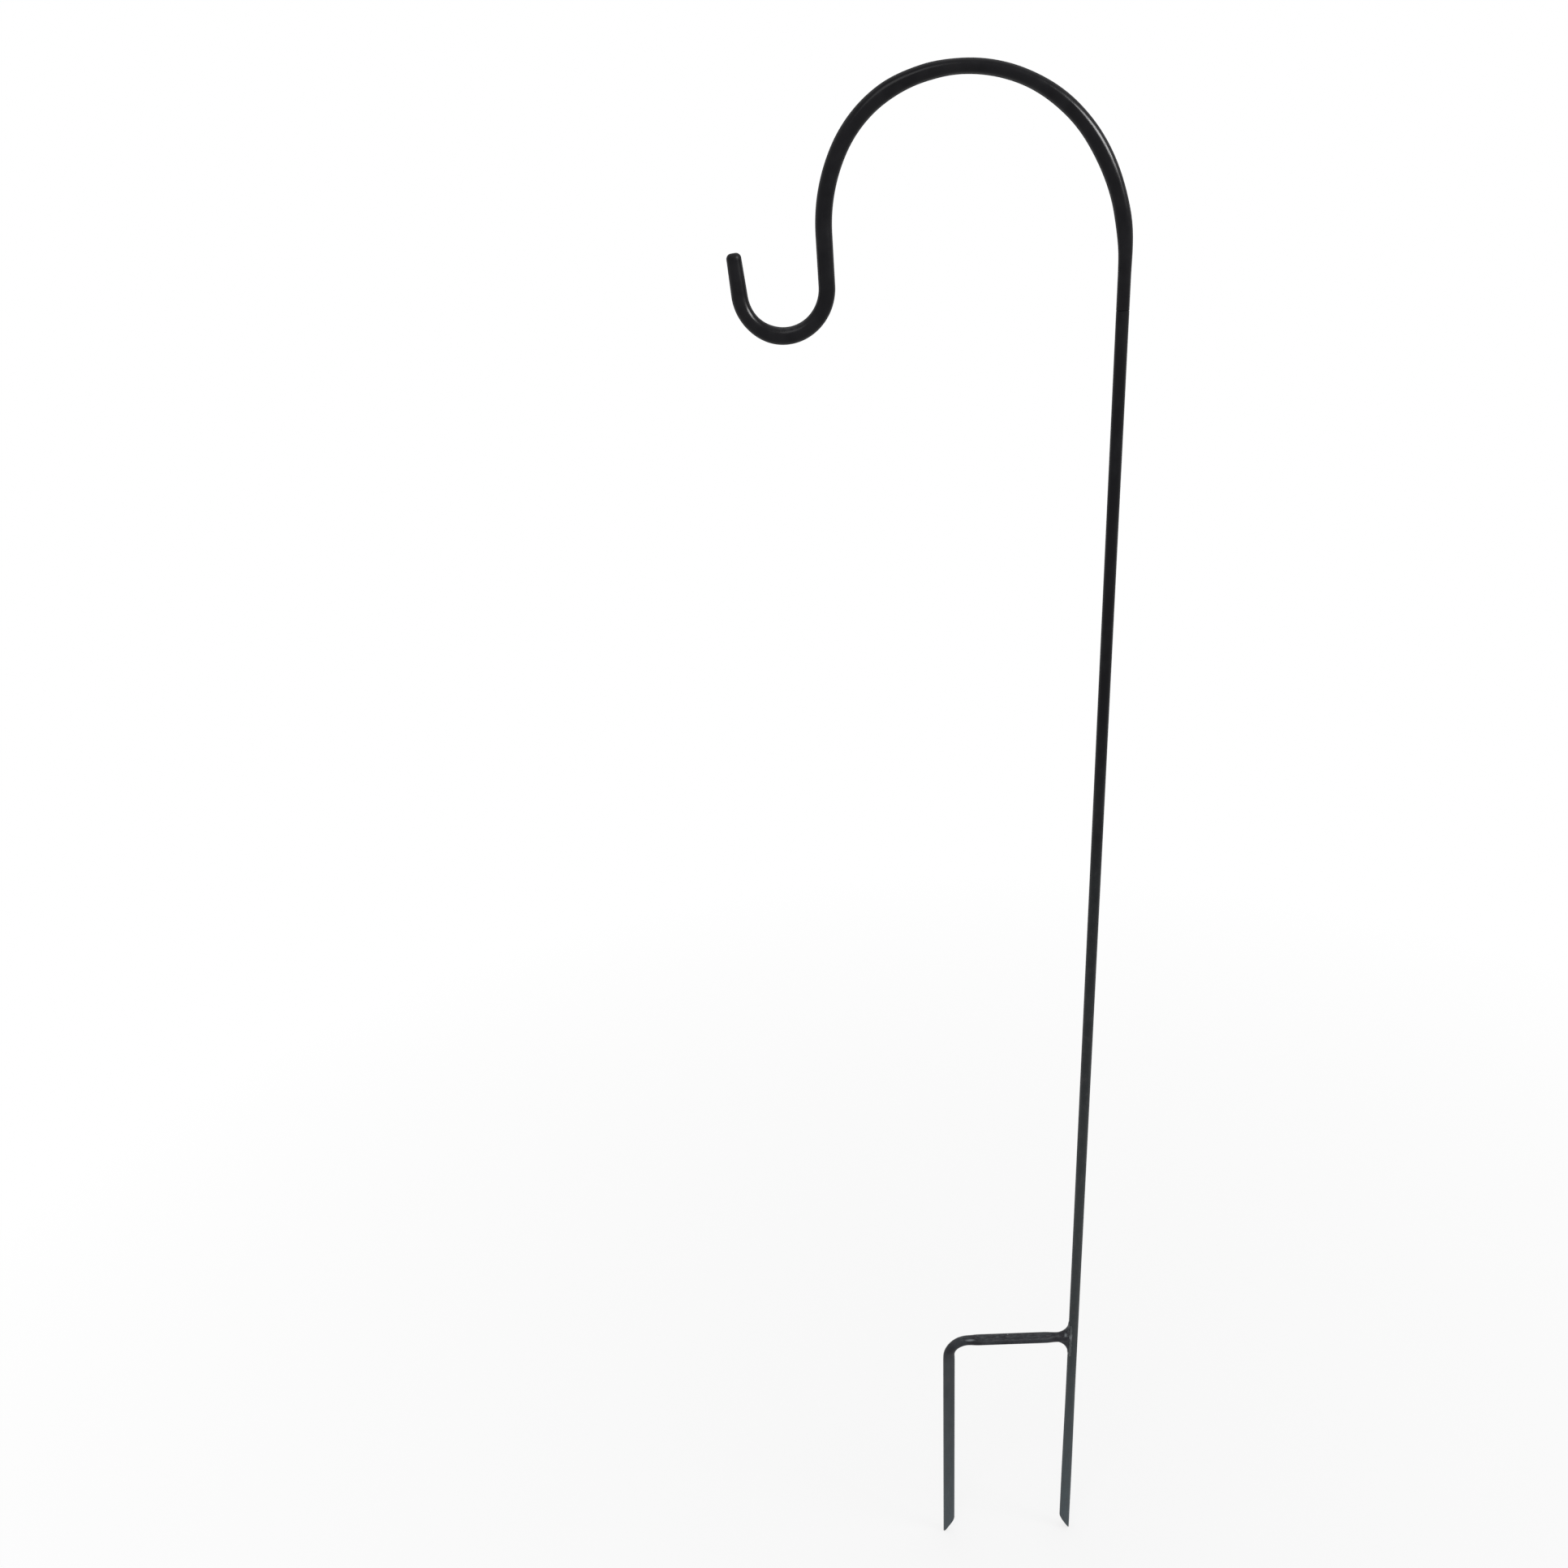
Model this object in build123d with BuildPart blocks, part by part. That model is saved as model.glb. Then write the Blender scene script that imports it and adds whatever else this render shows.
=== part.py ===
from build123d import *
import os
from math import cos, degrees, pi, radians, sin, sqrt, tan

# A garden shepherd's hook: a steel rod pole on two prongs, and a bent tube crook that stands on its
# top. Millimetres and degrees. The origin is on the pole's axis at the soil line, +Z is up, and the
# crook and the step bar reach towards -X in the XZ plane.

# Round stock
pole_diameter = 12.7
crook_diameter = 15.9
crook_wall = 1.5

# Prongs, below the soil line
prong_depth = 368.0
prong_spacing = 171.0
point_angle = 30.0

# Pole's own prong, pressed a little wider towards its point
blade_spread = 1.6
blade_start_depth = 60.0
blade_taper_length = 230.0

# Step bar, pressed wider than its rod along the tread and along its prong
pressed_spread = 3.5
press_run_out = 14.0
bar_bend_radius = 27.0

# Fishtail that joins the step bar to the pole, and its weld beads
fishtail_length = 18.0
fishtail_rise = 18.0
fishtail_drop = 25.0
fishtail_inset = 1.65
fishtail_heel_radius = 2.0
fishtail_rounding_share = 0.85
bead_radius = 2.2
bead_end_share = 0.9

# Slip joint: the pole's tenon stands in the crook's socket
socket_depth = 46.0
socket_clearance = 0.08
tenon_gap = 3.0
tenon_chamfer = 1.2
rim_chamfer = 0.4

# Crook, along the tube's centreline from its socket to its tip
arch_height = 1382.0
arch_radius = 150.0
arch_radius_shares = (1.267, 1.02, 0.757, 0.987)
arch_angle = 181.5
arch_angle_shares = (0.188, 0.429, 0.226, 0.157)
neck_length = 42.0
limb_length = 47.0
hook_radius = 43.1
hook_angle = 175.8
tip_length = 33.2
tip_diameter = 14.7

# Plug that closes the tip
plug_height = 6.5
plug_rounding_share = 0.8
plug_shank_length = 14.0

quarter_turn = 90.0
pole_radius = pole_diameter / 2
crook_radius = crook_diameter / 2
tip_radius = tip_diameter / 2
shoulder_height = arch_height - socket_depth

os.makedirs("parts", exist_ok=True)


def pressed_size(spread):
    """Width and thickness of the pole's rod pressed between flats, with its sectional area kept."""
    width = pole_diameter + spread
    corner_share = 1 - pi / 4
    area = pi * pole_radius**2
    thickness = (width - sqrt(width**2 - 4 * corner_share * area)) / (2 * corner_share)
    return width, thickness


def point_cutter(outer_x, inner_x):
    """Wedge that cuts a prong off to a point at outer_x, on a slope that rises to inner_x."""
    width = inner_x - outer_x
    rise = abs(width) / tan(radians(point_angle))
    low = (outer_x - width, -prong_depth - rise)
    high = (inner_x + width, -prong_depth + 2 * rise)
    with BuildSketch(Plane.XZ) as wedge:
        with BuildLine():
            Polyline(low, high, (inner_x + width, -prong_depth - rise), close=True)
        make_face()
    return wedge.sketch


# Pole: one rod, turned down at the top to a tenon and pressed at the bottom to a pointed blade
blade_width, blade_thickness = pressed_size(blade_spread)
blade_height = -blade_start_depth - blade_taper_length
with BuildPart() as pole:
    with BuildSketch(Plane.XY.offset(-blade_start_depth)):
        Circle(pole_radius)
    extrude(amount=blade_start_depth + shoulder_height)
    chamfer(pole.edges().group_by(Axis.Z)[-1], rim_chamfer)
    with BuildSketch(Plane.XY.offset(shoulder_height)):
        Circle(pole_radius - crook_wall - socket_clearance)
    extrude(amount=socket_depth - tenon_gap)
    chamfer(pole.edges().group_by(Axis.Z)[-1], tenon_chamfer)
    with BuildSketch(Plane.XY.offset(-blade_start_depth)):
        Circle(pole_radius)
    with BuildSketch(Plane.XY.offset(blade_height)):
        SlotOverall(blade_width, blade_thickness)
    loft()
    with BuildSketch(Plane.XY.offset(blade_height)):
        SlotOverall(blade_width, blade_thickness)
    extrude(amount=-prong_depth - blade_height)
    wedge = point_cutter(blade_width / 2, -blade_width / 2)
    extrude(wedge, amount=blade_width, both=True, mode=Mode.SUBTRACT)

pole.part.label = "pole"
export_step(pole.part, "parts/pole.step")

# Step bar: one rod again, with a fishtail, a pressed tread, a round bend and a pressed prong
pressed_width, pressed_thickness = pressed_size(pressed_spread)
bar_height = pressed_thickness / 2
tread_start = -pole_radius - fishtail_length
tread_flat_start = tread_start - press_run_out
bar_end = -prong_spacing + bar_bend_radius
tread_flat_end = bar_end + press_run_out
prong_top = bar_height - bar_bend_radius
prong_flat_top = prong_top - press_run_out
fishtail_thickness = pole_diameter - 2 * fishtail_inset
fishtail_top = bar_height + pole_radius + fishtail_rise
fishtail_bottom = bar_height - pole_radius - fishtail_drop


def across_bar(x):
    """Section plane square to the tread, at x."""
    return Plane(origin=(x, 0, bar_height), x_dir=(0, 1, 0), z_dir=(-1, 0, 0))


def across_prong(z):
    """Section plane square to the step bar's prong, at height z."""
    return Plane(origin=(-prong_spacing, 0, z), x_dir=(1, 0, 0), z_dir=(0, 0, 1))


with BuildPart() as step_bar:
    with BuildSketch(Plane.XZ):
        with BuildLine():
            Line((tread_start, bar_height + pole_radius), (tread_start, bar_height - pole_radius))
            EllipticalCenterArc(
                (tread_start, fishtail_bottom), fishtail_length, fishtail_drop, arc_size=quarter_turn
            )
            Polyline(
                (-pole_radius, fishtail_bottom), (0, fishtail_bottom),
                (0, fishtail_top), (-pole_radius, fishtail_top),
            )
            EllipticalCenterArc(
                (tread_start, fishtail_top), fishtail_length, fishtail_rise, arc_size=-quarter_turn
            )
        make_face()
        fillet(vertices().group_by(Axis.X)[1], fishtail_heel_radius)
    extrude(amount=fishtail_thickness / 2, both=True)
    fishtail_rims = step_bar.faces().filter_by(Axis.Y).edges()
    outer_rims = fishtail_rims.filter_by(lambda edge: tread_start < edge.center().X < 0)
    fillet(outer_rims, fishtail_thickness / 2 * fishtail_rounding_share)
    with BuildSketch(across_bar(0)):
        Circle(pole_radius)
    extrude(amount=-tread_start)
    with BuildSketch(across_bar(tread_start)):
        Circle(pole_radius)
    with BuildSketch(across_bar(tread_flat_start)):
        SlotOverall(pressed_width, pressed_thickness)
    loft()
    with BuildSketch(across_bar(tread_flat_start)):
        SlotOverall(pressed_width, pressed_thickness)
    extrude(amount=tread_flat_start - tread_flat_end)
    with BuildSketch(across_bar(tread_flat_end)):
        SlotOverall(pressed_width, pressed_thickness)
    with BuildSketch(across_bar(bar_end)):
        Circle(pole_radius)
    loft()
    with BuildSketch(across_bar(bar_end)):
        Circle(pole_radius)
    revolve(axis=Axis((bar_end, 0, prong_top), (0, -1, 0)), revolution_arc=quarter_turn)
    with BuildSketch(across_prong(prong_top)):
        Circle(pole_radius)
    with BuildSketch(across_prong(prong_flat_top)):
        SlotOverall(pressed_width, pressed_thickness)
    loft()
    with BuildSketch(across_prong(prong_flat_top)):
        SlotOverall(pressed_width, pressed_thickness)
    extrude(amount=-prong_depth - prong_flat_top)
    wedge = point_cutter(-prong_spacing - pressed_width / 2, -prong_spacing + pressed_width / 2)
    extrude(wedge, amount=pressed_width, both=True, mode=Mode.SUBTRACT)
    add(pole.part, mode=Mode.SUBTRACT)

step_bar.part.label = "step_bar"
export_step(step_bar.part, "parts/step_bar.step")

# Weld beads: one down each side, in the corner between the fishtail's face and the pole
seam_y = fishtail_thickness / 2
seam_x = -sqrt(pole_radius**2 - seam_y**2)
for side, bead_name in ((-1, "weld_bead_front"), (1, "weld_bead_back")):
    with BuildPart() as bead:
        with BuildSketch(Plane.XY.offset(fishtail_bottom)):
            with Locations((seam_x, side * seam_y)):
                Circle(bead_radius)
        extrude(amount=fishtail_top - fishtail_bottom)
        fillet(bead.edges().filter_by(GeomType.CIRCLE), bead_radius * bead_end_share)
        add(pole.part, mode=Mode.SUBTRACT)
        add(step_bar.part, mode=Mode.SUBTRACT)
    bead.part.label = bead_name
    export_step(bead.part, f"parts/{bead_name}.step")

# Crook's centreline: four arcs over the arch, a straight limb, and the hook's one long arc
arch_radii = [arch_radius * share for share in arch_radius_shares]
arch_angles = [arch_angle * share for share in arch_angle_shares]
neck_angle = degrees(neck_length / arch_radii[0])
with BuildLine(Plane.XZ) as neck_path:
    JernArc((0, arch_height), (0, 1), arch_radii[0], neck_angle)
with BuildLine(Plane.XZ) as crook_path:
    neck_drift = arch_radii[0] * (1 - cos(radians(neck_angle)))
    neck_climb = arch_radii[0] * sin(radians(neck_angle))
    neck_heading = (-sin(radians(neck_angle)), cos(radians(neck_angle)))
    bend = JernArc(
        (-neck_drift, arch_height + neck_climb), neck_heading, arch_radii[0], arch_angles[0] - neck_angle
    )
    for radius, angle in zip(arch_radii[1:], arch_angles[1:]):
        bend = JernArc(bend @ 1, bend % 1, radius, angle)
    limb = Line(bend @ 1, (bend @ 1) + (bend % 1) * limb_length)
    JernArc(limb @ 1, limb % 1, hook_radius, -hook_angle)

crook_wire = crook_path.wire()
neck_end = Plane(origin=crook_wire @ 0, z_dir=crook_wire % 0)
hook_end = Plane(origin=crook_wire @ 1, z_dir=crook_wire % 1)
tip_rim = hook_end.offset(tip_length)

# Crook: one tube, swaged down to its socket at the pole and drawn in at the tip. The second pass
# repeats the first one wall further in, and cuts the bore.
with BuildPart() as crook_tube:
    for inset, mode in ((0, Mode.ADD), (crook_wall, Mode.SUBTRACT)):
        with BuildSketch(Plane.XY.offset(shoulder_height)):
            Circle(pole_radius - inset)
        extrude(amount=socket_depth, mode=mode)
        with BuildSketch(Plane.XY.offset(arch_height)):
            Circle(pole_radius - inset)
        with BuildSketch(neck_end):
            Circle(crook_radius - inset)
        sweep(path=neck_path.wire(), multisection=True, mode=mode)
        with BuildSketch(neck_end):
            Circle(crook_radius - inset)
        sweep(path=crook_wire, mode=mode)
        with BuildSketch(hook_end):
            Circle(crook_radius - inset)
        with BuildSketch(tip_rim):
            Circle(tip_radius - inset)
        loft(mode=mode)
    mouth_edges = crook_tube.edges().filter_by_position(Axis.Z, shoulder_height, shoulder_height)
    chamfer(mouth_edges.sort_by(SortBy.RADIUS)[-1], rim_chamfer)

crook_tube.part.label = "crook_tube"
export_step(crook_tube.part, "parts/crook_tube.step")

# Tip plug: a rounded head on the tube's rim, and a shank down its bore
with BuildPart() as tip_plug:
    with BuildSketch(tip_rim):
        Circle(tip_radius)
    extrude(amount=plug_height)
    head_edge = tip_plug.edges().sort_by(Axis(tip_rim.origin, tip_rim.z_dir))[-1]
    fillet(head_edge, min(plug_height, tip_radius) * plug_rounding_share)
    with BuildSketch(tip_rim):
        Circle(tip_radius - crook_wall)
    extrude(amount=-plug_shank_length)

tip_plug.part.label = "tip_plug"
export_step(tip_plug.part, "parts/tip_plug.step")
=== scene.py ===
from math import atan2, cos, hypot, pi, radians, sin, sqrt

import bpy
from mathutils import Matrix, Vector


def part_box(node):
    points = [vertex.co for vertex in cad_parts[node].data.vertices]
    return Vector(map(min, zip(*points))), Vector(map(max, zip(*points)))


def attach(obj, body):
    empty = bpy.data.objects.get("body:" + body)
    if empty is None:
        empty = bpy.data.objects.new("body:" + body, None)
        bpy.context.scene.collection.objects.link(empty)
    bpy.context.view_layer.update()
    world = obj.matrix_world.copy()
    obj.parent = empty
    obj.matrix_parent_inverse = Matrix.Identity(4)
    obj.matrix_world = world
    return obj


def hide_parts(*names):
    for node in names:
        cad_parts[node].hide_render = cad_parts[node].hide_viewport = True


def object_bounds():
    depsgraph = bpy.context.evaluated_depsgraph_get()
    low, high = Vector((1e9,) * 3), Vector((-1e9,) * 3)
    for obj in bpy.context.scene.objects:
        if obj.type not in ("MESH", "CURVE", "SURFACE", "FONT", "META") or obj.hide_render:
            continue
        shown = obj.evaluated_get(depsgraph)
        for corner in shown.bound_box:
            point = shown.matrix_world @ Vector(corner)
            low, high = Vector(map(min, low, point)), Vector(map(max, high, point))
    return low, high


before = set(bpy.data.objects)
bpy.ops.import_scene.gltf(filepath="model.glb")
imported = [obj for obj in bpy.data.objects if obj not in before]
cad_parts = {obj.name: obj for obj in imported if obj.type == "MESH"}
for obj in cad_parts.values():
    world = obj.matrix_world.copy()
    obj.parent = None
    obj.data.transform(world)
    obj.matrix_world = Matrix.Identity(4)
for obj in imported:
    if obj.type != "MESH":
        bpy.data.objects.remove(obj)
cad_low, cad_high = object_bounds()

# Pole: one 12.7 mm steel rod, drawn smooth. It is turned down at the top to a tenon for the crook,
# pressed a little wider towards the bottom, and sheared to a point. Its satin black coat goes matte
# and slate grey towards the foot.
rod_radius = 0.00635
rod_sides = 48
pole_pitch = 0.012
point_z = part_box("pole")[0].z
seat_z = 1.336
seat_chamfer = 0.0004
tenon_radius = 0.00477
tenon_top_z = 1.379
tenon_chamfer = 0.0012
blade_half_width = 0.00715
blade_half_thickness = 0.00526
blade_start_z = -0.060
blade_full_z = -0.290
point_slope = radians(30)
point_rim = 0.0004
same_place = 0.00001
sharp_edge = radians(35)


def start_ring(name, radius, place, turn=(0, 0, 0)):
    """An open ring, selected in edit mode, ready to be drawn out into a rod."""
    bpy.ops.object.select_all(action="DESELECT")
    bpy.ops.mesh.primitive_circle_add(vertices=rod_sides, radius=radius, location=place, rotation=turn)
    piece = bpy.context.object
    piece.name = name
    bpy.ops.object.transform_apply(location=True, rotation=True, scale=True)
    bpy.ops.object.mode_set(mode="EDIT")
    bpy.ops.mesh.select_all(action="SELECT")
    return piece


def draw_out(direction, length, pitch):
    """Extrudes the selected ring along direction, in equal steps of about pitch."""
    steps = max(1, round(length / pitch))
    step = Vector(direction) * (length / steps)
    for _ in range(steps):
        bpy.ops.mesh.extrude_region_move(TRANSFORM_OT_translate={"value": step})


def narrow(centre, share):
    """Scales the selected ring about centre."""
    bpy.ops.transform.resize(value=(share, share, share), center_override=centre)


def ease(share):
    """A share held between 0 and 1, with both ends rounded."""
    share = min(1.0, max(0.0, share))
    return share * share * (3 - 2 * share)


def press(across, over, share, half_width, half_thickness):
    """Where a point of the round rod's section goes when the rod is pressed between flats."""
    radius_share = 1 + (half_thickness / rod_radius - 1) * share
    side = (across > same_place / 10) - (across < -same_place / 10)
    return across * radius_share + side * (half_width - half_thickness) * share, over * radius_share


def shear_point(corner, inward):
    """Cuts the rod off on a slope through its lowest corner, caps it, and breaks the cut's rim."""
    bpy.ops.mesh.select_all(action="SELECT")
    slope = (inward * cos(point_slope), 0, -sin(point_slope))
    bpy.ops.mesh.bisect(plane_co=corner, plane_no=slope, use_fill=True, clear_outer=True)
    bpy.ops.mesh.region_to_loop()
    bpy.ops.mesh.bevel(offset=point_rim, segments=2)
    bpy.ops.mesh.select_all(action="DESELECT")


def close_up():
    """Merges the active piece's doubles, turns its faces outwards, and shades it smooth between edges."""
    bpy.ops.object.mode_set(mode="EDIT")
    bpy.ops.mesh.select_all(action="SELECT")
    bpy.ops.mesh.remove_doubles(threshold=same_place)
    bpy.ops.mesh.normals_make_consistent(inside=False)
    bpy.ops.object.mode_set(mode="OBJECT")
    bpy.ops.object.shade_smooth_by_angle(angle=sharp_edge)


pole = start_ring("pole_rod", rod_radius, (0, 0, point_z - pole_pitch))
draw_out((0, 0, 1), seat_z - seat_chamfer - point_z + pole_pitch, pole_pitch)
draw_out((0, 0, 1), seat_chamfer, seat_chamfer)
narrow((0, 0, seat_z), 1 - seat_chamfer / rod_radius)
bpy.ops.mesh.extrude_region_move()
narrow((0, 0, seat_z), tenon_radius / (rod_radius - seat_chamfer))
draw_out((0, 0, 1), tenon_top_z - tenon_chamfer - seat_z, pole_pitch)
draw_out((0, 0, 1), tenon_chamfer, tenon_chamfer)
narrow((0, 0, tenon_top_z), 1 - tenon_chamfer / tenon_radius)
bpy.ops.mesh.edge_face_add()
bpy.ops.object.mode_set(mode="OBJECT")
for vertex in pole.data.vertices:
    share = ease((blade_start_z - vertex.co.z) / (blade_start_z - blade_full_z))
    vertex.co.x, vertex.co.y = press(
        vertex.co.x, vertex.co.y, share, blade_half_width, blade_half_thickness
    )
bpy.ops.object.mode_set(mode="EDIT")
pole_point = Vector((blade_half_width, 0, point_z))
shear_point(pole_point, -1)
close_up()
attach(pole, "pole")
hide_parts("pole")

black_coat = (0.0036, 0.0034, 0.0048)
slate_coat = (0.041, 0.047, 0.049)
pale_slate_coat = (0.071, 0.088, 0.097)
warm_slate_coat = (0.066, 0.060, 0.060)
worn_coat = (0.13, 0.14, 0.142)
black_above_z = 0.92
slate_below_z = 0.02
blotch_start = (0.5, 0.2, 0.1)
scuff_start = (0.37, 0.11, 0.23)
scuff_softness = 0.12
scour_grain = (0.0008, 0.0008, 0.022)
brush_grain = (0.0006, 0.0006, 0.030)
coarse_peel_grain = (0.0011, 0.0011, 0.0011)
rim_start = 0.45
rim_full = 0.8
cut_skin = 0.0002
cut_fade = 0.0005


def new_paint(piece, name, specular):
    """Gives the piece a new material, and returns its nodes, its shader and the piece's own places."""
    paint = bpy.data.materials.new(name)
    paint.use_nodes = True
    piece.data.materials.append(paint)
    tree = paint.node_tree
    shader = tree.nodes["Principled BSDF"]
    shader.inputs["Specular IOR Level"].default_value = specular
    return tree, shader, tree.nodes.new("ShaderNodeTexCoord").outputs["Object"]


def plug_in(tree, value, socket):
    """Links an output to the socket, or sets the socket to a plain number or colour."""
    if isinstance(value, bpy.types.NodeSocket):
        tree.links.new(value, socket)
    elif isinstance(value, tuple):
        socket.default_value = value + (1,)
    else:
        socket.default_value = value


def grain(tree, places, size, detail=3.0, start=(0, 0, 0)):
    """Noise whose grains measure about size, in metres, along each axis."""
    stretch = tree.nodes.new("ShaderNodeMapping")
    stretch.inputs["Location"].default_value = start
    stretch.inputs["Scale"].default_value = (1 / size[0], 1 / size[1], 1 / size[2])
    noise = tree.nodes.new("ShaderNodeTexNoise")
    noise.inputs["Scale"].default_value = 1
    noise.inputs["Detail"].default_value = detail
    tree.links.new(places, stretch.inputs["Vector"])
    tree.links.new(stretch.outputs["Vector"], noise.inputs["Vector"])
    return noise.outputs["Fac"]


def between(tree, source, low, high, at_low=0.0, at_high=1.0):
    """Turns a value from low to high into one from at_low to at_high, and holds it there beyond."""
    node = tree.nodes.new("ShaderNodeMapRange")
    tree.links.new(source, node.inputs["Value"])
    plug_in(tree, low, node.inputs["From Min"])
    plug_in(tree, high, node.inputs["From Max"])
    plug_in(tree, at_low, node.inputs["To Min"])
    plug_in(tree, at_high, node.inputs["To Max"])
    return node.outputs["Result"]


def spread(tree, noise, low=0.0, high=1.0):
    """Spreads a grain from low to high: most of its values lie between 0.3 and 0.7."""
    return between(tree, noise, 0.3, 0.7, low, high)


def work_out(tree, kind, first, second):
    """One step of arithmetic on two values, each a number or an output."""
    node = tree.nodes.new("ShaderNodeMath")
    node.operation = kind
    plug_in(tree, first, node.inputs[0])
    plug_in(tree, second, node.inputs[1])
    return node.outputs[0]


def lay_over(tree, under, over, share):
    """Lays one colour over another by a share. Inputs 6 and 7 take the colours, output 2 gives one."""
    node = tree.nodes.new("ShaderNodeMix")
    node.data_type = "RGBA"
    plug_in(tree, share, node.inputs[0])
    plug_in(tree, under, node.inputs[6])
    plug_in(tree, over, node.inputs[7])
    return node.outputs[2]


def relief(tree, height, depth, under=None):
    """Raises the surface by depth, in metres, where height is 1, over any relief under it."""
    node = tree.nodes.new("ShaderNodeBump")
    node.inputs["Strength"].default_value = 1
    node.inputs["Distance"].default_value = depth
    tree.links.new(height, node.inputs["Height"])
    if under:
        tree.links.new(under, node.inputs["Normal"])
    return node.outputs["Normal"]


def split(tree, places):
    """The X, Y and Z of a place, as three outputs."""
    node = tree.nodes.new("ShaderNodeSeparateXYZ")
    tree.links.new(places, node.inputs[0])
    return node.outputs[:]


def scuff(tree, places, colour, rare, strength, size):
    """Lays thin rubbed marks over a colour, fewer where rare is larger, and returns both."""
    marks = grain(tree, places, size, 4.0, scuff_start)
    share = between(tree, marks, rare, rare + scuff_softness, 0.0, strength)
    return lay_over(tree, colour, worn_coat, share), marks


def dull_rim(tree, rough):
    """Turns the gloss dull towards the outline, so that no glancing reflection washes out the edge."""
    slant = tree.nodes.new("ShaderNodeLayerWeight")
    return work_out(tree, "MAXIMUM", rough, between(tree, slant.outputs["Facing"], rim_start, rim_full))


def sheared(tree, across, up, corner, inward):
    """1 on the cut face of a point, 0 elsewhere."""
    run = work_out(tree, "MULTIPLY", work_out(tree, "SUBTRACT", across, corner.x), inward * cos(point_slope))
    drop = work_out(tree, "MULTIPLY", work_out(tree, "SUBTRACT", corner.z, up), sin(point_slope))
    return between(tree, work_out(tree, "ADD", run, drop), -cut_fade, -cut_skin)


tree, shader, places = new_paint(pole, "pole_black_to_slate", 0.11)
across, _, up = split(tree, places)
mottle = grain(tree, places, (0.017, 0.017, 0.045))
blotch = grain(tree, places, (0.006, 0.006, 0.011), 4.0, blotch_start)
drawn = grain(tree, places, brush_grain, 4.0)
peel = grain(tree, places, coarse_peel_grain, 2.0)
fade = between(tree, up, black_above_z, slate_below_z)
patchy = work_out(tree, "ADD", fade, spread(tree, mottle, -0.08, 0.08))
patchy = work_out(tree, "ADD", patchy, spread(tree, blotch, -0.04, 0.04))
colour = lay_over(tree, black_coat, slate_coat, patchy)
deep = between(tree, up, 0.0, -0.34)
deep = work_out(tree, "MULTIPLY", deep, between(tree, mottle, 0.2, 0.5, 0.7, 1.0))
colour = lay_over(tree, colour, pale_slate_coat, deep)
warm_spots = work_out(tree, "MULTIPLY", between(tree, blotch, 0.55, 0.75, 0.0, 0.5), fade)
colour = lay_over(tree, colour, warm_slate_coat, warm_spots)
in_soil = between(tree, up, -0.02, -0.30, 0.0, 0.5)
colour, marks = scuff(tree, places, colour, 0.6, in_soil, scour_grain)
# Painted shade: the sheared cut face of the point is painted darker slate.
colour = lay_over(tree, colour, slate_coat, sheared(tree, across, up, pole_point, -1))
tree.links.new(colour, shader.inputs["Base Color"])
rough = between(tree, fade, 0.0, 1.0, 0.25, 0.52)
rough = work_out(tree, "ADD", rough, spread(tree, drawn, -0.05, 0.05))
rough = work_out(tree, "ADD", rough, spread(tree, mottle, -0.04, 0.04))
tree.links.new(dull_rim(tree, rough), shader.inputs["Roughness"])
skin = relief(tree, drawn, 0.00002)
skin = relief(tree, peel, 0.00003, skin)
skin = relief(tree, marks, 0.00004, skin)
tree.links.new(skin, shader.inputs["Normal"])

# Step bar: a second length of the same rod. One end is spread to a fishtail and welded to the pole,
# the tread is pressed flat for a foot, and the rest is bent down to a pressed, sheared prong.
tread_half_width = 0.00808
tread_half_thickness = 0.00443
bar_z = tread_half_thickness
bar_top_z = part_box("step_bar")[1].z
bar_pitch = 0.003
press_run_out = 0.014
bend_radius = 0.027
bend_steps = 20
bend_lead_in = 0.022
prong_x = -0.171
prong_run_out = 0.006
prong_pitch = 0.006
fishtail_length = 0.018
fishtail_half_thickness = 0.0047
fan_rise = bar_top_z - bar_z - rod_radius
fan_drop = 0.025
fan_steps = 16
fan_root_x = -0.003
fan_flank_shares = (0.0, 0.08, 0.2, 0.38, 0.62, 0.85, 1.0)
fan_flattening = 1.6
near_enough = 0.001
tail_x = -rod_radius - fishtail_length
bend_x = prong_x + bend_radius
prong_top_z = bar_z - bend_radius

step_bar = start_ring("step_bar_rod", rod_radius, (tail_x, 0, bar_z), (0, pi / 2, 0))
draw_out((-1, 0, 0), tail_x - bend_x, bar_pitch)
bpy.ops.mesh.spin(steps=bend_steps, angle=pi / 2, center=(bend_x, 0, prong_top_z), axis=(0, 1, 0))
draw_out((0, 0, -1), prong_top_z - point_z + prong_pitch, prong_pitch)

# Each point is pressed by its place on the bar: in the bend, on the prong below it, or on the tread.
bpy.ops.object.mode_set(mode="OBJECT")
for vertex in step_bar.data.vertices:
    x, y, z = vertex.co
    if x < bend_x and z >= prong_top_z:
        turn = atan2(z - prong_top_z, bend_x - x)
        out = Vector((-cos(turn), 0, sin(turn)))
        share = ease((bend_lead_in - turn * bend_radius) / (bend_lead_in + prong_run_out))
        across = hypot(bend_x - x, z - prong_top_z) - bend_radius
        across, over = press(across, y, share, tread_half_width, tread_half_thickness)
        vertex.co = Vector((bend_x, over, prong_top_z)) + out * (bend_radius + across)
    elif z < prong_top_z:
        share = ease((prong_top_z - z + bend_lead_in) / (bend_lead_in + prong_run_out))
        across, over = press(x - prong_x, y, share, tread_half_width, tread_half_thickness)
        vertex.co.x = prong_x + across
        vertex.co.y = over
    elif x > bend_x:
        share = ease((tail_x - x) / press_run_out) * ease((x - bend_x) / press_run_out)
        across, over = press(y, z - bar_z, share, tread_half_width, tread_half_thickness)
        vertex.co.y = across
        vertex.co.z = bar_z + over
bpy.ops.object.mode_set(mode="EDIT")
prong_point = Vector((prong_x - tread_half_width, 0, point_z))
shear_point(prong_point, 1)

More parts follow.
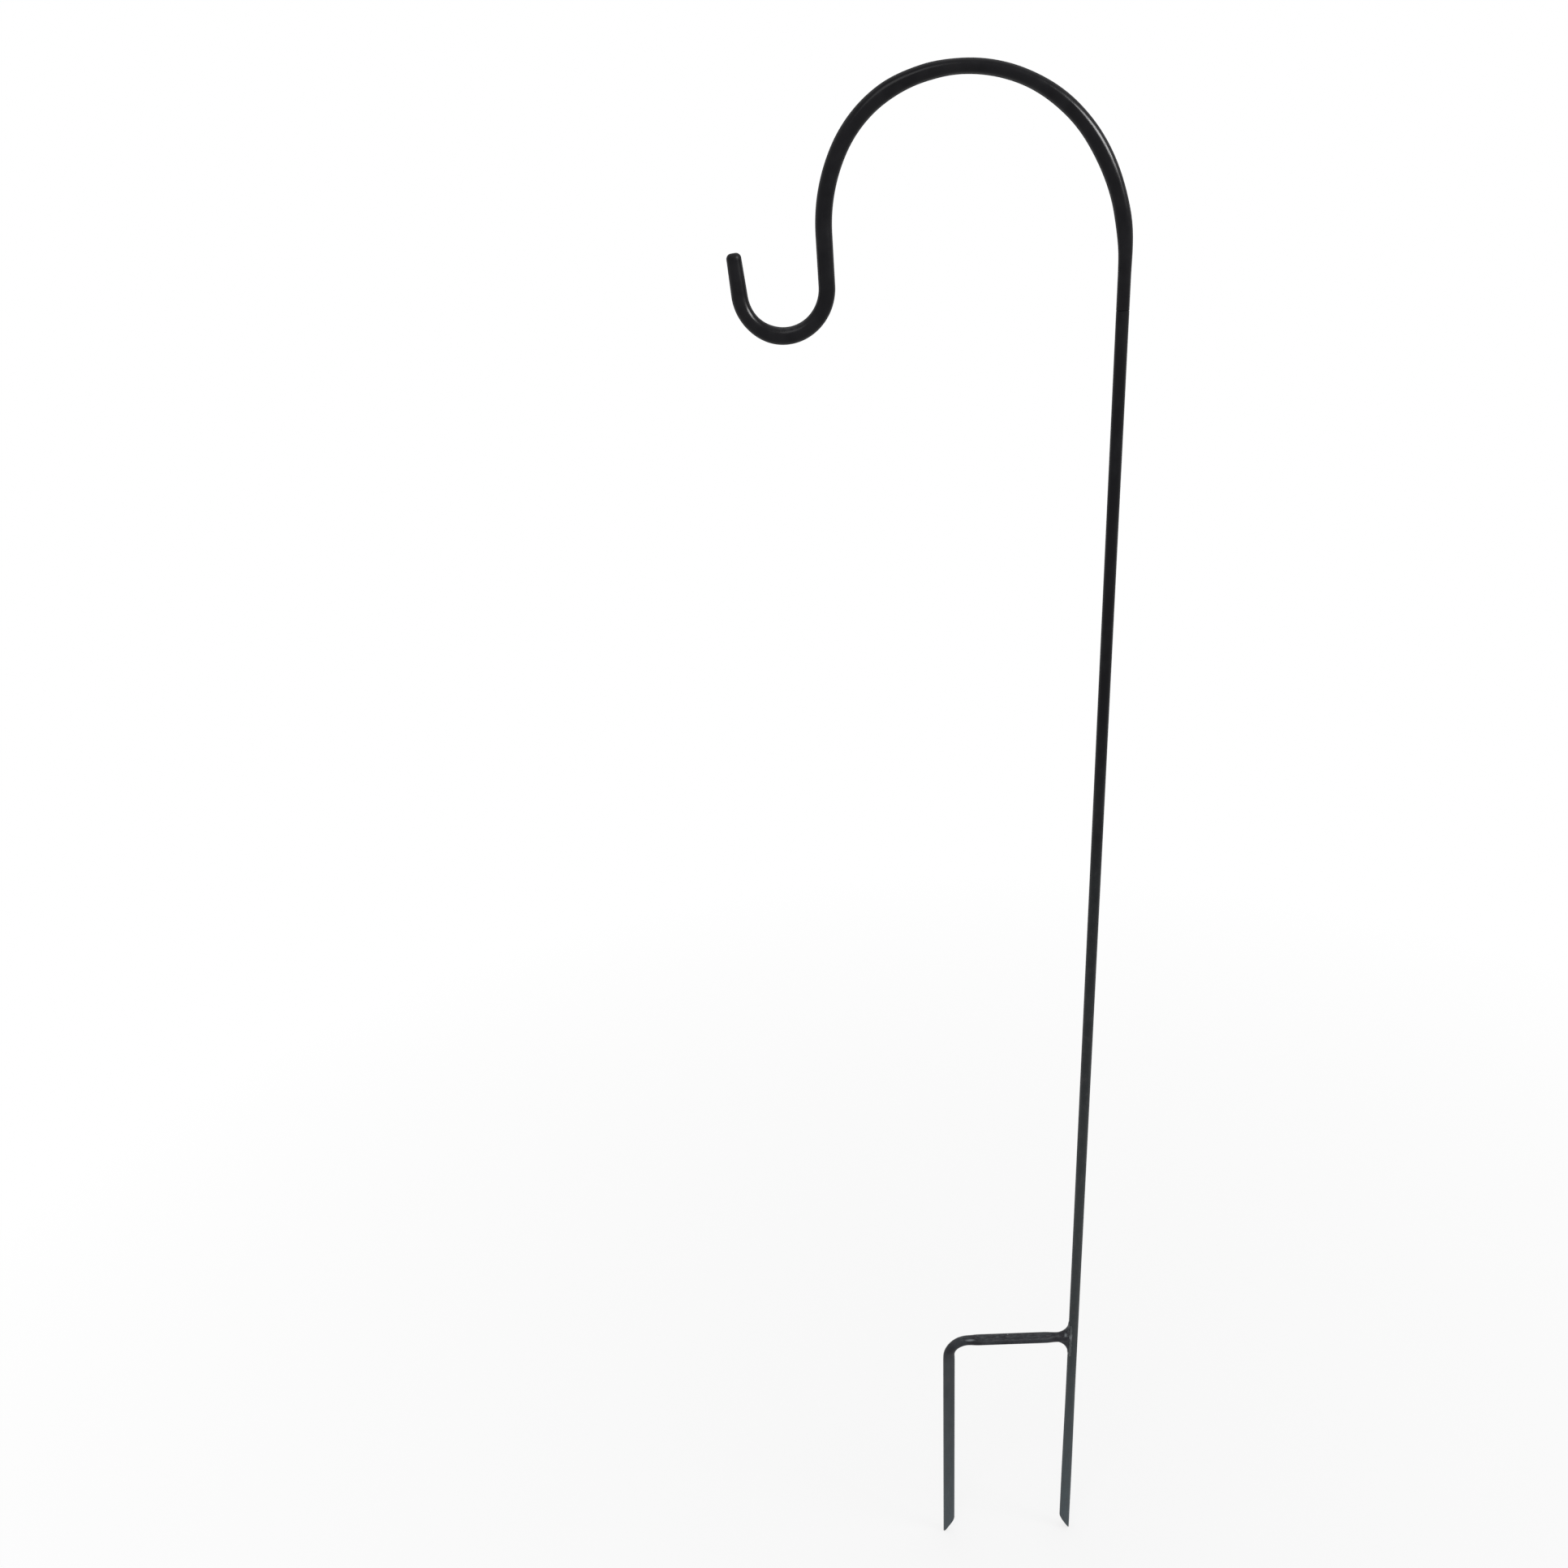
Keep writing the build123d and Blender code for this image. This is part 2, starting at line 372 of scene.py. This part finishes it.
# The fishtail: the rod's end is drawn on into the pole, and its section fans out from round to a
# thin slab, which is cut to the pole's surface after that. Each point lies between its place on the
# round section and its place on the flat one. A quarter of the section runs from 0 at the flank's
# middle to 1 at its upper or lower edge.
bpy.ops.object.mode_set(mode="OBJECT")
for vertex in step_bar.data.vertices:
    vertex.select = abs(vertex.co.x - tail_x) < same_place
bpy.ops.object.mode_set(mode="EDIT")
for step in range(fan_steps):
    reach = sin(pi / 2 * (step + 1) / fan_steps) - sin(pi / 2 * step / fan_steps)
    bpy.ops.mesh.extrude_region_move(TRANSFORM_OT_translate={"value": (reach * fishtail_length, 0, 0)})
bpy.ops.mesh.extrude_region_move(TRANSFORM_OT_translate={"value": (fan_root_x + rod_radius, 0, 0)})
bpy.ops.mesh.edge_face_add()
bpy.ops.object.mode_set(mode="OBJECT")
for vertex in step_bar.data.vertices:
    if vertex.co.x < tail_x + same_place:
        continue
    share = min(1.0, (vertex.co.x - tail_x) / fishtail_length)
    flare = 1 - sqrt(1 - share * share)
    above = vertex.co.z >= bar_z
    height = rod_radius + flare * (fan_rise if above else fan_drop)
    half_thickness = rod_radius + (fishtail_half_thickness - rod_radius) * ease(share)
    quarter = atan2(abs(vertex.co.z - bar_z), abs(vertex.co.y)) / (pi / 2)
    round_y = half_thickness * cos(quarter * pi / 2)
    round_z = height * sin(quarter * pi / 2)
    if quarter < 0.5:
        spot = quarter * 2 * (len(fan_flank_shares) - 1)
        first = min(int(spot + near_enough), len(fan_flank_shares) - 2)
        flank = fan_flank_shares[first]
        flank += (fan_flank_shares[first + 1] - flank) * (spot - first)
        flat_y = half_thickness
        flat_z = flank * (height - half_thickness)
    else:
        flat_y = half_thickness * cos((quarter - 0.5) * pi)
        flat_z = height - half_thickness + half_thickness * sin((quarter - 0.5) * pi)
    flatness = ease(share * fan_flattening)
    y = round_y + (flat_y - round_y) * flatness
    z = round_z + (flat_z - round_z) * flatness
    core_y = sqrt(max(0.0, rod_radius**2 - z**2))
    y = 0.0 if quarter > 1 - near_enough else max(y, core_y)
    vertex.co.y = y if vertex.co.y > 0 else -y
    vertex.co.z = bar_z + (z if above else -z)
close_up()


def cut_away(piece, cutter):
    """Cuts the cutter's shape out of the piece, so that it seats on the cutter's surface."""
    bpy.ops.object.select_all(action="DESELECT")
    piece.select_set(True)
    bpy.context.view_layer.objects.active = piece
    bpy.ops.object.modifier_add(type="BOOLEAN")
    piece.modifiers[-1].object = cutter
    piece.modifiers[-1].solver = "EXACT"
    bpy.ops.object.modifier_apply(modifier=piece.modifiers[-1].name)
    bpy.ops.object.shade_smooth_by_angle(angle=sharp_edge)


cut_away(step_bar, pole)
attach(step_bar, "pole")
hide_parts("step_bar")

tread_top_z = bar_z + tread_half_thickness
trodden_depth = 0.00163
dark_tread_coat = (0.015, 0.015, 0.019)
pale_tread_coat = (0.031, 0.034, 0.040)
warm_tread_coat = (0.050, 0.044, 0.052)
dark_prong_coat = (0.041, 0.046, 0.050)
pale_prong_coat = (0.052, 0.058, 0.064)
# The pale colour of the highlights painted on the foot.
painted_highlight_colour = (0.20, 0.215, 0.23)


def dab(tree, places, centre, reach):
    """1 around a centre, fading to 0 at its reach along each axis."""
    stretch = tree.nodes.new("ShaderNodeMapping")
    stretch.inputs["Location"].default_value = [-place / far for place, far in zip(centre, reach)]
    stretch.inputs["Scale"].default_value = [1 / far for far in reach]
    tree.links.new(places, stretch.inputs["Vector"])
    distance = tree.nodes.new("ShaderNodeVectorMath")
    distance.operation = "LENGTH"
    tree.links.new(stretch.outputs["Vector"], distance.inputs[0])
    return between(tree, distance.outputs["Value"], 1.0, 0.35)


tree, shader, places = new_paint(step_bar, "foot_slate", 0.15)
across, _, up = split(tree, places)
mottle = grain(tree, places, (0.017, 0.017, 0.03))
blotch = grain(tree, places, (0.006, 0.006, 0.009), 4.0, blotch_start)
brushed_down = grain(tree, places, brush_grain, 4.0)
brushed_along = grain(tree, places, (0.025, 0.0006, 0.0006), 4.0)
peel = grain(tree, places, coarse_peel_grain, 2.0)
tread_share = between(tree, up, -0.035, -0.010)
tread_colour = lay_over(tree, dark_tread_coat, pale_tread_coat, between(tree, mottle, 0.35, 0.65))
tread_colour = lay_over(tree, tread_colour, warm_tread_coat, between(tree, blotch, 0.5, 0.75, 0.0, 0.6))
prong_colour = lay_over(tree, dark_prong_coat, pale_prong_coat, spread(tree, mottle))
deep = between(tree, up, -0.08, -0.38)
deep = work_out(tree, "MULTIPLY", deep, between(tree, blotch, 0.25, 0.5, 0.75, 1.0))
prong_colour = lay_over(tree, prong_colour, pale_slate_coat, deep)
warm_spots = between(tree, blotch, 0.55, 0.75, 0.0, 0.5)
prong_colour = lay_over(tree, prong_colour, warm_slate_coat, warm_spots)
colour = lay_over(tree, prong_colour, tread_colour, tread_share)
stepped_on = between(tree, up, tread_top_z - trodden_depth, tread_top_z, 0.0, 0.35)
colour, _ = scuff(tree, places, colour, 0.5, stepped_on, (0.007, 0.0012, 0.003))
in_soil = between(tree, up, -0.04, -0.32, 0.0, 0.5)
colour, _ = scuff(tree, places, colour, 0.6, in_soil, scour_grain)
# Painted highlight: a pale spot on the top of the bend.
painted_bend_highlight = dab(tree, places, (-0.1425, -0.0045, 0.0087), (0.0075, 0.0014, 0.0030))
# A small spatter nub, raised by the relief further down, with a painted glint laid on it.
spatter_and_painted_glint = dab(tree, places, (-0.0895, 0.0036, 0.0088), (0.0014, 0.0014, 0.0014))
# Painted highlight: a pale spot on the fishtail's flank beside the pole.
painted_fishtail_highlight = dab(tree, places, (-0.0112, -0.0050, 0.0120), (0.0022, 0.0030, 0.0036))
# Lays the pale painted highlights over the coat.
for mark, strength in ((painted_bend_highlight, 0.8), (spatter_and_painted_glint, 1.0), (painted_fishtail_highlight, 0.8)):
    colour = lay_over(tree, colour, painted_highlight_colour, work_out(tree, "MULTIPLY", mark, strength))
# Painted shade: the sheared cut face of the point is painted darker slate.
colour = lay_over(tree, colour, slate_coat, sheared(tree, across, up, prong_point, 1))
tree.links.new(colour, shader.inputs["Base Color"])
brushed = lay_over(tree, brushed_down, brushed_along, tread_share)
rough = spread(tree, brushed, 0.42, 0.56)
rough = work_out(tree, "SUBTRACT", rough, work_out(tree, "MULTIPLY", stepped_on, 0.3))
tree.links.new(rough, shader.inputs["Roughness"])
skin = relief(tree, brushed, 0.00002)
skin = relief(tree, peel, 0.00003, skin)
skin = relief(tree, blotch, 0.00012, skin)
skin = relief(tree, spatter_and_painted_glint, 0.0007, skin)
tree.links.new(skin, shader.inputs["Normal"])

# Welds: one bead down each side of the fishtail, in the corner that its flank makes with the pole.
# Each is laid in short overlapping ripples, its root sunk in the pole, and painted with the foot.
bead_low, bead_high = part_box("weld_bead_back")
bead_radius = 0.0022
bead_x = -sqrt(rod_radius**2 - fishtail_half_thickness**2)
bead_length = bead_high.z - bead_low.z
bead_end_share = 0.02
bead_bluntness = 6
ripple_pitch = 0.0019
ripple_depth_share = 0.1
ripple_sag = 0.0007
rings_per_ripple = 5
slow_wander = 0.00025
slow_turns = 37
quick_wander = 0.00012
quick_turns = 91
painted_crest_highlight = (0.20, 0.21, 0.22)
crest_start_z = bar_z - 0.002
crest_full_z = bar_z + 0.003
crest_fade_z = bar_z + 0.005
crest_end_z = bar_z + 0.012

for side, bead_name in ((-1, "weld_bead_front"), (1, "weld_bead_back")):
    bead_y = side * fishtail_half_thickness
    bead = start_ring(bead_name + "_run", bead_radius, (bead_x, bead_y, bead_low.z))
    bpy.ops.mesh.edge_face_add()
    draw_out((0, 0, 1), bead_length, ripple_pitch / rings_per_ripple)
    bpy.ops.object.mode_set(mode="OBJECT")
    for vertex in bead.data.vertices:
        along = (vertex.co.z - bead_low.z) / bead_length
        out_x = (vertex.co.x - bead_x) / bead_radius
        out_y = (vertex.co.y - bead_y) / bead_radius
        ripple = (along * bead_length / ripple_pitch) % 1.0
        end = sqrt(max(0.0, 1 - (2 * along - 1) ** bead_bluntness))
        wander = slow_wander * sin(along * slow_turns)
        wander += quick_wander * sin(along * quick_turns + side)
        swell = bead_radius * (end * (1 - ripple_depth_share * ripple) + bead_end_share)
        sideways = (out_x + side * out_y) * sqrt(0.5)
        vertex.co.x = bead_x + out_x * swell + wander * end
        vertex.co.y = bead_y + out_y * swell
        vertex.co.z -= ripple_sag * sideways**2 * end**4
    close_up()
    cut_away(bead, step_bar)
    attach(bead, "pole")
    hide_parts(bead_name)
    tree, shader, places = new_paint(bead, bead_name + "_coat", 0.25)
    slag = grain(tree, places, (0.0009, 0.0009, 0.0009), 4.0)
    up = split(tree, places)[2]
    colour = lay_over(tree, slate_coat, worn_coat, between(tree, slag, 0.4, 0.7, 0.0, 0.45))
    # Painted highlight: a pale band across each bead at the tread's height.
    highlight_band = between(tree, up, crest_start_z, crest_full_z)
    highlight_band = work_out(tree, "MULTIPLY", highlight_band, between(tree, up, crest_end_z, crest_fade_z))
    colour = lay_over(tree, colour, painted_crest_highlight, work_out(tree, "MULTIPLY", highlight_band, 0.6))
    tree.links.new(colour, shader.inputs["Base Color"])
    tree.links.new(spread(tree, slag, 0.3, 0.5), shader.inputs["Roughness"])
    tree.links.new(relief(tree, slag, 0.00015), shader.inputs["Normal"])

# Crook: one 15.9 mm steel tube with a 1.5 mm wall. Its end is swaged down to a socket that slips
# over the pole's tenon, and it is bent cold over the arch and up into the small hook.
tube_radius = 0.00795
tube_wall = 0.0015
tube_pitch = 0.004
mouth_chamfer = 0.0004
socket_depth = 0.046
swage_length = 0.042
arch_z = seat_z + socket_depth
arch_radius = 0.15
arch_radius_shares = (1.267, 1.02, 0.757, 0.987)
arch_angle = 181.5
arch_angle_shares = (0.188, 0.429, 0.226, 0.157)
limb_length = 0.047
hook_radius = 0.0431
hook_angle = 175.8
tip_length = 0.0332
tip_radius = 0.00735
bend_step = radians(2)

# The tube from its socket to its tip. Each stretch has its bend's radius, or its length where it is
# straight, and its turn in degrees, positive over the arch and negative round the small hook.
tube_route = [
    (arch_radius * radius_share, arch_angle * angle_share)
    for radius_share, angle_share in zip(arch_radius_shares, arch_angle_shares)
]
tube_route += [(limb_length, 0), (hook_radius, -hook_angle), (tip_length, 0)]


def pointing(angle):
    """A direction in the hook's plane, from its angle above +X."""
    return Vector((cos(angle), 0, sin(angle)))


crook = start_ring("crook_bent_tube", rod_radius - mouth_chamfer, (0, 0, seat_z))
draw_out((0, 0, 1), mouth_chamfer, mouth_chamfer)
narrow((0, 0, seat_z + mouth_chamfer), rod_radius / (rod_radius - mouth_chamfer))
draw_out((0, 0, 1), socket_depth - mouth_chamfer, tube_pitch)
stretches = []
place = Vector((0, 0, arch_z))
heading = pi / 2
along = socket_depth
for radius, turn in tube_route:
    if turn == 0:
        stretches.append((along, place.copy(), heading, radius, 0))
        draw_out(pointing(heading), radius, tube_pitch)
        place = place + pointing(heading) * radius
        along += radius
        continue
    side = 1 if turn > 0 else -1
    angle = radians(abs(turn))
    pivot = place + pointing(heading + side * pi / 2) * radius
    stretches.append((along, pivot, heading, radius, radians(turn)))
    bpy.ops.mesh.spin(steps=round(angle / bend_step), angle=angle, center=pivot, axis=(0, side, 0))
    heading += side * angle
    place = pivot - pointing(heading + side * pi / 2) * radius
    along += radius * angle
bpy.ops.object.mode_set(mode="OBJECT")
tip_place = place.copy()
tip_heading = heading
crook_length = along


def find_along(point):
    """How far along the tube a point of its skin lies, the nearest centre point, and its heading."""
    if point.x > -2 * tube_radius and point.z < arch_z:
        return point.z - seat_z, Vector((0, 0, point.z)), pi / 2
    best = None
    for start, origin, way, radius, turn in stretches:
        offset = Vector((point.x, 0, point.z)) - origin
        if turn == 0:
            run = min(radius, max(0.0, offset.dot(pointing(way))))
            centre = origin + pointing(way) * run
            local_heading = way
        else:
            side = 1 if turn > 0 else -1
            swept = side * (atan2(offset.z, offset.x) - (way - side * pi / 2))
            swept = (swept + pi) % (2 * pi) - pi
            swept = min(abs(turn), max(0.0, swept))
            run = swept * radius
            local_heading = way + side * swept
            centre = origin - pointing(local_heading + side * pi / 2) * radius
        gap = hypot(point.x - centre.x, point.z - centre.z)
        if best is None or gap < best[0] - same_place * 10:
            best = (gap, start + run, centre, local_heading)
    return best[1:]


# The bender squeezes the tube, so its width in the hook's plane changes along it, and a little of
# the change goes the other way across that plane. Each pair is a place along the tube and the share
# that the width there stands above its round size.
squeezes = (
    (0.03, 0.0), (0.055, 0.05), (0.10, -0.03), (0.145, 0.02), (0.195, -0.05), (0.25, -0.155),
    (0.31, -0.16), (0.345, -0.07), (0.385, 0.025), (0.60, 0.025), (0.645, 0.05), (0.675, -0.02),
    (0.70, 0.01), (0.74, 0.0),
)
squeeze_bulge = 0.1


def squeeze_at(along):
    """The share that the tube's width in the hook's plane stands above its round size."""
    for (first, low), (second, high) in zip(squeezes, squeezes[1:]):
        if along <= second:
            return low + (high - low) * ease((along - first) / (second - first))
    return 0.0


for vertex in crook.data.vertices:
    along, centre, _ = find_along(vertex.co)
    swage = ease((along - socket_depth) / swage_length)
    taper = max(0.0, (along - (crook_length - tip_length)) / tip_length)
    radius = rod_radius + (tube_radius - rod_radius) * swage - (tube_radius - tip_radius) * taper
    grow = radius / rod_radius
    squeeze = squeeze_at(along)
    offset = vertex.co - centre
    vertex.co.x = centre.x + offset.x * grow * (1 + squeeze)
    vertex.co.z = centre.z + offset.z * grow * (1 + squeeze)
    vertex.co.y = offset.y * grow * (1 - squeeze * squeeze_bulge)
close_up()
bpy.ops.object.modifier_add(type="SOLIDIFY")
crook.modifiers[-1].thickness = tube_wall
crook.modifiers[-1].offset = -1
crook.modifiers[-1].use_even_offset = True
bpy.ops.object.modifier_apply(modifier=crook.modifiers[-1].name)
close_up()
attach(crook, "crook")
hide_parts("crook_tube")

# Each face is laid flat on the tube's own map: metres around the tube by metres along it.
unrolled = crook.data.uv_layers.new(name="unrolled")
for face in crook.data.polygons:
    corners = []
    for index in face.vertices:
        point = crook.data.vertices[index].co
        along, centre, heading = find_along(point)
        leftward = (point - centre).dot(pointing(heading + pi / 2))
        corners.append((atan2(point.y, leftward), along))
    wraps = max(angle for angle, _ in corners) - min(angle for angle, _ in corners) > pi
    for loop, (angle, along) in zip(face.loop_indices, corners):
        if wraps and angle < 0:
            angle += 2 * pi
        unrolled.data[loop].uv = (angle * tube_radius, along)

soft_black_coat = (0.0085, 0.0082, 0.0098)
scratched_coat = (0.03, 0.03, 0.033)
# Pale coat for the rubbed places on the crook, and for the painted highlight on the plug's top.
rubbed_and_highlight_coat = (0.05, 0.05, 0.053)
fine_peel_grain = (0.0012, 0.0012, 0.0012)
saddle_along = crook_length - tip_length - hook_radius * radians(hook_angle / 2)
saddle_core = 0.006
saddle_reach = 0.030
inner_side_start = 0.0155
inner_side_full = 0.0215

tree, shader, places = new_paint(crook, "crook_satin_black", 0.105)
flat_map = tree.nodes.new("ShaderNodeUVMap")
flat_map.uv_map = "unrolled"
unrolled_places = flat_map.outputs["UV"]
around, along, _ = split(tree, unrolled_places)
peel = grain(tree, places, fine_peel_grain, 2.0)
mottle = grain(tree, places, (0.017, 0.017, 0.017))
blotch = grain(tree, places, (0.005, 0.005, 0.005), 4.0, blotch_start)
scratch = grain(tree, unrolled_places, (0.0004, 0.035, 1.0), 5.0)
colour = lay_over(tree, black_coat, soft_black_coat, spread(tree, mottle))
fine_lines = between(tree, scratch, 0.66, 0.74)
colour = lay_over(tree, colour, scratched_coat, work_out(tree, "MULTIPLY", fine_lines, 0.5))
turned_in = work_out(tree, "ABSOLUTE", around, 0.0)
inner_side = between(tree, turned_in, inner_side_start, inner_side_full)
from_saddle = work_out(tree, "ABSOLUTE", work_out(tree, "SUBTRACT", along, saddle_along), 0.0)
near_saddle = between(tree, from_saddle, saddle_reach, saddle_core)
rubbed = work_out(tree, "MULTIPLY", inner_side, near_saddle)
patches = work_out(tree, "MULTIPLY", rubbed, between(tree, blotch, 0.35, 0.6))
colour = lay_over(tree, colour, rubbed_and_highlight_coat, work_out(tree, "MULTIPLY", patches, 0.7))
tree.links.new(colour, shader.inputs["Base Color"])
rough = spread(tree, mottle, 0.19, 0.25)
rough = work_out(tree, "ADD", rough, spread(tree, blotch, -0.03, 0.03))
rough = work_out(tree, "ADD", rough, work_out(tree, "MULTIPLY", fine_lines, 0.1))
rough = work_out(tree, "SUBTRACT", rough, work_out(tree, "MULTIPLY", rubbed, 0.05))
tree.links.new(dull_rim(tree, rough), shader.inputs["Roughness"])
skin = relief(tree, scratch, 0.000006)
skin = relief(tree, peel, 0.000004, skin)
skin = relief(tree, blotch, 0.000005, skin)
tree.links.new(skin, shader.inputs["Normal"])

# Tip plug: a pressed steel plug with a rounded head. Its shank is driven into the tube's end, and it
# is painted with the tube.
plug_height = 0.0065
plug_rounding = 0.0052
plug_steps = 8
plug_head_radius = tip_radius - plug_rounding
shank_length = 0.014
shank_radius = tip_radius - tube_wall

plug = start_ring("tip_plug_head", shank_radius, (0, 0, -shank_length))
bpy.ops.mesh.edge_face_add()
draw_out((0, 0, 1), shank_length, tube_pitch)
bpy.ops.mesh.extrude_region_move()
narrow((0, 0, 0), tip_radius / shank_radius)
draw_out((0, 0, 1), plug_height - plug_rounding, plug_height)
for step in range(plug_steps):
    before = pi / 2 * step / plug_steps
    after = pi / 2 * (step + 1) / plug_steps
    radius_before = plug_head_radius + plug_rounding * cos(before)
    radius_after = plug_head_radius + plug_rounding * cos(after)
    height = plug_height - plug_rounding + plug_rounding * sin(after)
    rise = plug_rounding * (sin(after) - sin(before))
    bpy.ops.mesh.extrude_region_move(TRANSFORM_OT_translate={"value": (0, 0, rise)})
    narrow((0, 0, height), radius_after / radius_before)
bpy.ops.object.mode_set(mode="OBJECT")
plug.rotation_euler.y = pi / 2 - tip_heading
plug.location = tip_place
bpy.ops.object.transform_apply(location=True, rotation=True, scale=True)
close_up()
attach(plug, "crook")
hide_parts("tip_plug")

plug_top_z = tip_place.z + plug_height
knock_and_highlight_depth = 0.003

tree, shader, places = new_paint(plug, "plug_satin_black", 0.09)
peel = grain(tree, places, fine_peel_grain, 2.0)
blotch = grain(tree, places, (0.004, 0.004, 0.004), 4.0)
up = split(tree, places)[2]
colour = lay_over(tree, black_coat, soft_black_coat, spread(tree, blotch))
# The top of the head is lightened in blotches: partly knocks in the coat, partly painted highlight.
knocks_and_painted_highlight = between(tree, up, plug_top_z - knock_and_highlight_depth, plug_top_z, 0.0, 0.5)
knocks_and_painted_highlight = work_out(tree, "MULTIPLY", knocks_and_painted_highlight, between(tree, blotch, 0.4, 0.6))
colour = lay_over(tree, colour, rubbed_and_highlight_coat, knocks_and_painted_highlight)
tree.links.new(colour, shader.inputs["Base Color"])
rough = spread(tree, blotch, 0.40, 0.50)
tree.links.new(dull_rim(tree, rough), shader.inputs["Roughness"])
skin = relief(tree, peel, 0.00002)
skin = relief(tree, blotch, 0.00004, skin)
tree.links.new(skin, shader.inputs["Normal"])

# Floor: a plain white board under the points. It takes the hook's shadow near by, and fades to the
# plain white background farther out.
floor_side = 60
board_white = 0.94
shadow_reach = 0.4
fade_reach = 2.2
least_whiteness = 0.72


def seen_ray(tree):
    """1 for rays that see the white background: straight from the camera, or by gloss or glass."""
    ray = tree.nodes.new("ShaderNodeLightPath").outputs
    seen = work_out(tree, "MAXIMUM", ray["Is Camera Ray"], ray["Is Glossy Ray"])
    return work_out(tree, "MAXIMUM", seen, ray["Is Transmission Ray"])


bpy.ops.object.select_all(action="DESELECT")
bpy.ops.mesh.primitive_plane_add(size=floor_side, location=(0, 0, cad_low.z))
floor = bpy.context.object
floor.name = "floor"
bpy.ops.object.transform_apply(location=True, rotation=True, scale=True)

tree, shader, places = new_paint(floor, "white_board", 0.0)
shader.inputs["Roughness"].default_value = 1
shader.inputs["Base Color"].default_value = (board_white, board_white, board_white, 1)
distance = tree.nodes.new("ShaderNodeVectorMath")
distance.operation = "LENGTH"
tree.links.new(places, distance.inputs[0])
whiteness = between(tree, distance.outputs["Value"], shadow_reach, fade_reach, least_whiteness, 1.0)
glow = tree.nodes.new("ShaderNodeEmission")
blend = tree.nodes.new("ShaderNodeMixShader")
tree.links.new(work_out(tree, "MULTIPLY", whiteness, seen_ray(tree)), blend.inputs[0])
tree.links.new(shader.outputs[0], blend.inputs[1])
tree.links.new(glow.outputs[0], blend.inputs[2])
tree.links.new(blend.outputs[0], tree.nodes["Material Output"].inputs["Surface"])

# Room: a soft even light from all round. It lights the hook at less than full strength, and is seen
# as plain white.
room_light = 0.7

room = bpy.data.worlds.new("white_room")
bpy.context.scene.world = room
room.use_nodes = True
tree = room.node_tree
soft_wall = tree.nodes["Background"]
soft_wall.inputs["Color"].default_value = (1, 1, 1, 1)
soft_wall.inputs["Strength"].default_value = room_light
white_wall = tree.nodes.new("ShaderNodeBackground")
white_wall.inputs["Color"].default_value = (1, 1, 1, 1)
blend = tree.nodes.new("ShaderNodeMixShader")
tree.links.new(seen_ray(tree), blend.inputs[0])
tree.links.new(soft_wall.outputs[0], blend.inputs[1])
tree.links.new(white_wall.outputs[0], blend.inputs[2])
tree.links.new(blend.outputs[0], tree.nodes["World Output"].inputs["Surface"])

# Camera: a standing person's eye, in front of the small hook and looking down at the foot. Its
# focal length is in pixels of the photo, which is as wide as it is high.
photo_width = 1932
focal_length = 1580.6
film_width = 36
eye = (-0.3288, -1.3461, 1.4040)
turn_left = radians(1.242)
look_down = radians(22.429)
lean = radians(-3.047)

lens_data = bpy.data.cameras.new("camera")
lens_data.sensor_width = film_width
lens_data.lens = film_width * focal_length / photo_width
camera = bpy.data.objects.new("camera", lens_data)
camera.matrix_world = (
    Matrix.Translation(eye)
    @ Matrix.Rotation(turn_left, 4, "Z")
    @ Matrix.Rotation(pi / 2 - look_down, 4, "X")
    @ Matrix.Rotation(lean, 4, "Z")
)
bpy.context.scene.collection.objects.link(camera)
bpy.context.scene.camera = camera

# Lights: a broad softbox above the front, a side light, and a small bright one beside it that only
# draws the clear line along the crook's shoulder and adds no brightness to the colours.
lamp_aim = Vector((-0.03, 0, 1.50))
lamp_distance = 2.5


def hang_softbox(name, way, width, height, watts):
    """A softbox hung out from the arch along way, facing it."""
    lamp_data = bpy.data.lights.new(name, "AREA")
    lamp_data.shape = "RECTANGLE"
    lamp_data.size = width
    lamp_data.size_y = height
    lamp_data.energy = watts
    lamp = bpy.data.objects.new(name, lamp_data)
    turn = way.to_track_quat("Z", "Y").to_matrix().to_4x4()
    lamp.matrix_world = Matrix.Translation(lamp_aim + way.normalized() * lamp_distance) @ turn
    bpy.context.scene.collection.objects.link(lamp)
    return lamp


hang_softbox("front_softbox", Vector((-0.25, -0.66, 0.70)), 1.2, 1.0, 14)
hang_softbox("side_softbox", Vector((0.80, -0.35, 0.45)), 0.8, 1.5, 12)
glint = hang_softbox("side_strip", Vector((0.74, -0.50, 0.44)), 1.1, 0.6, 115)
glint.visible_diffuse = False

bpy.context.scene.view_settings.view_transform = "Standard"
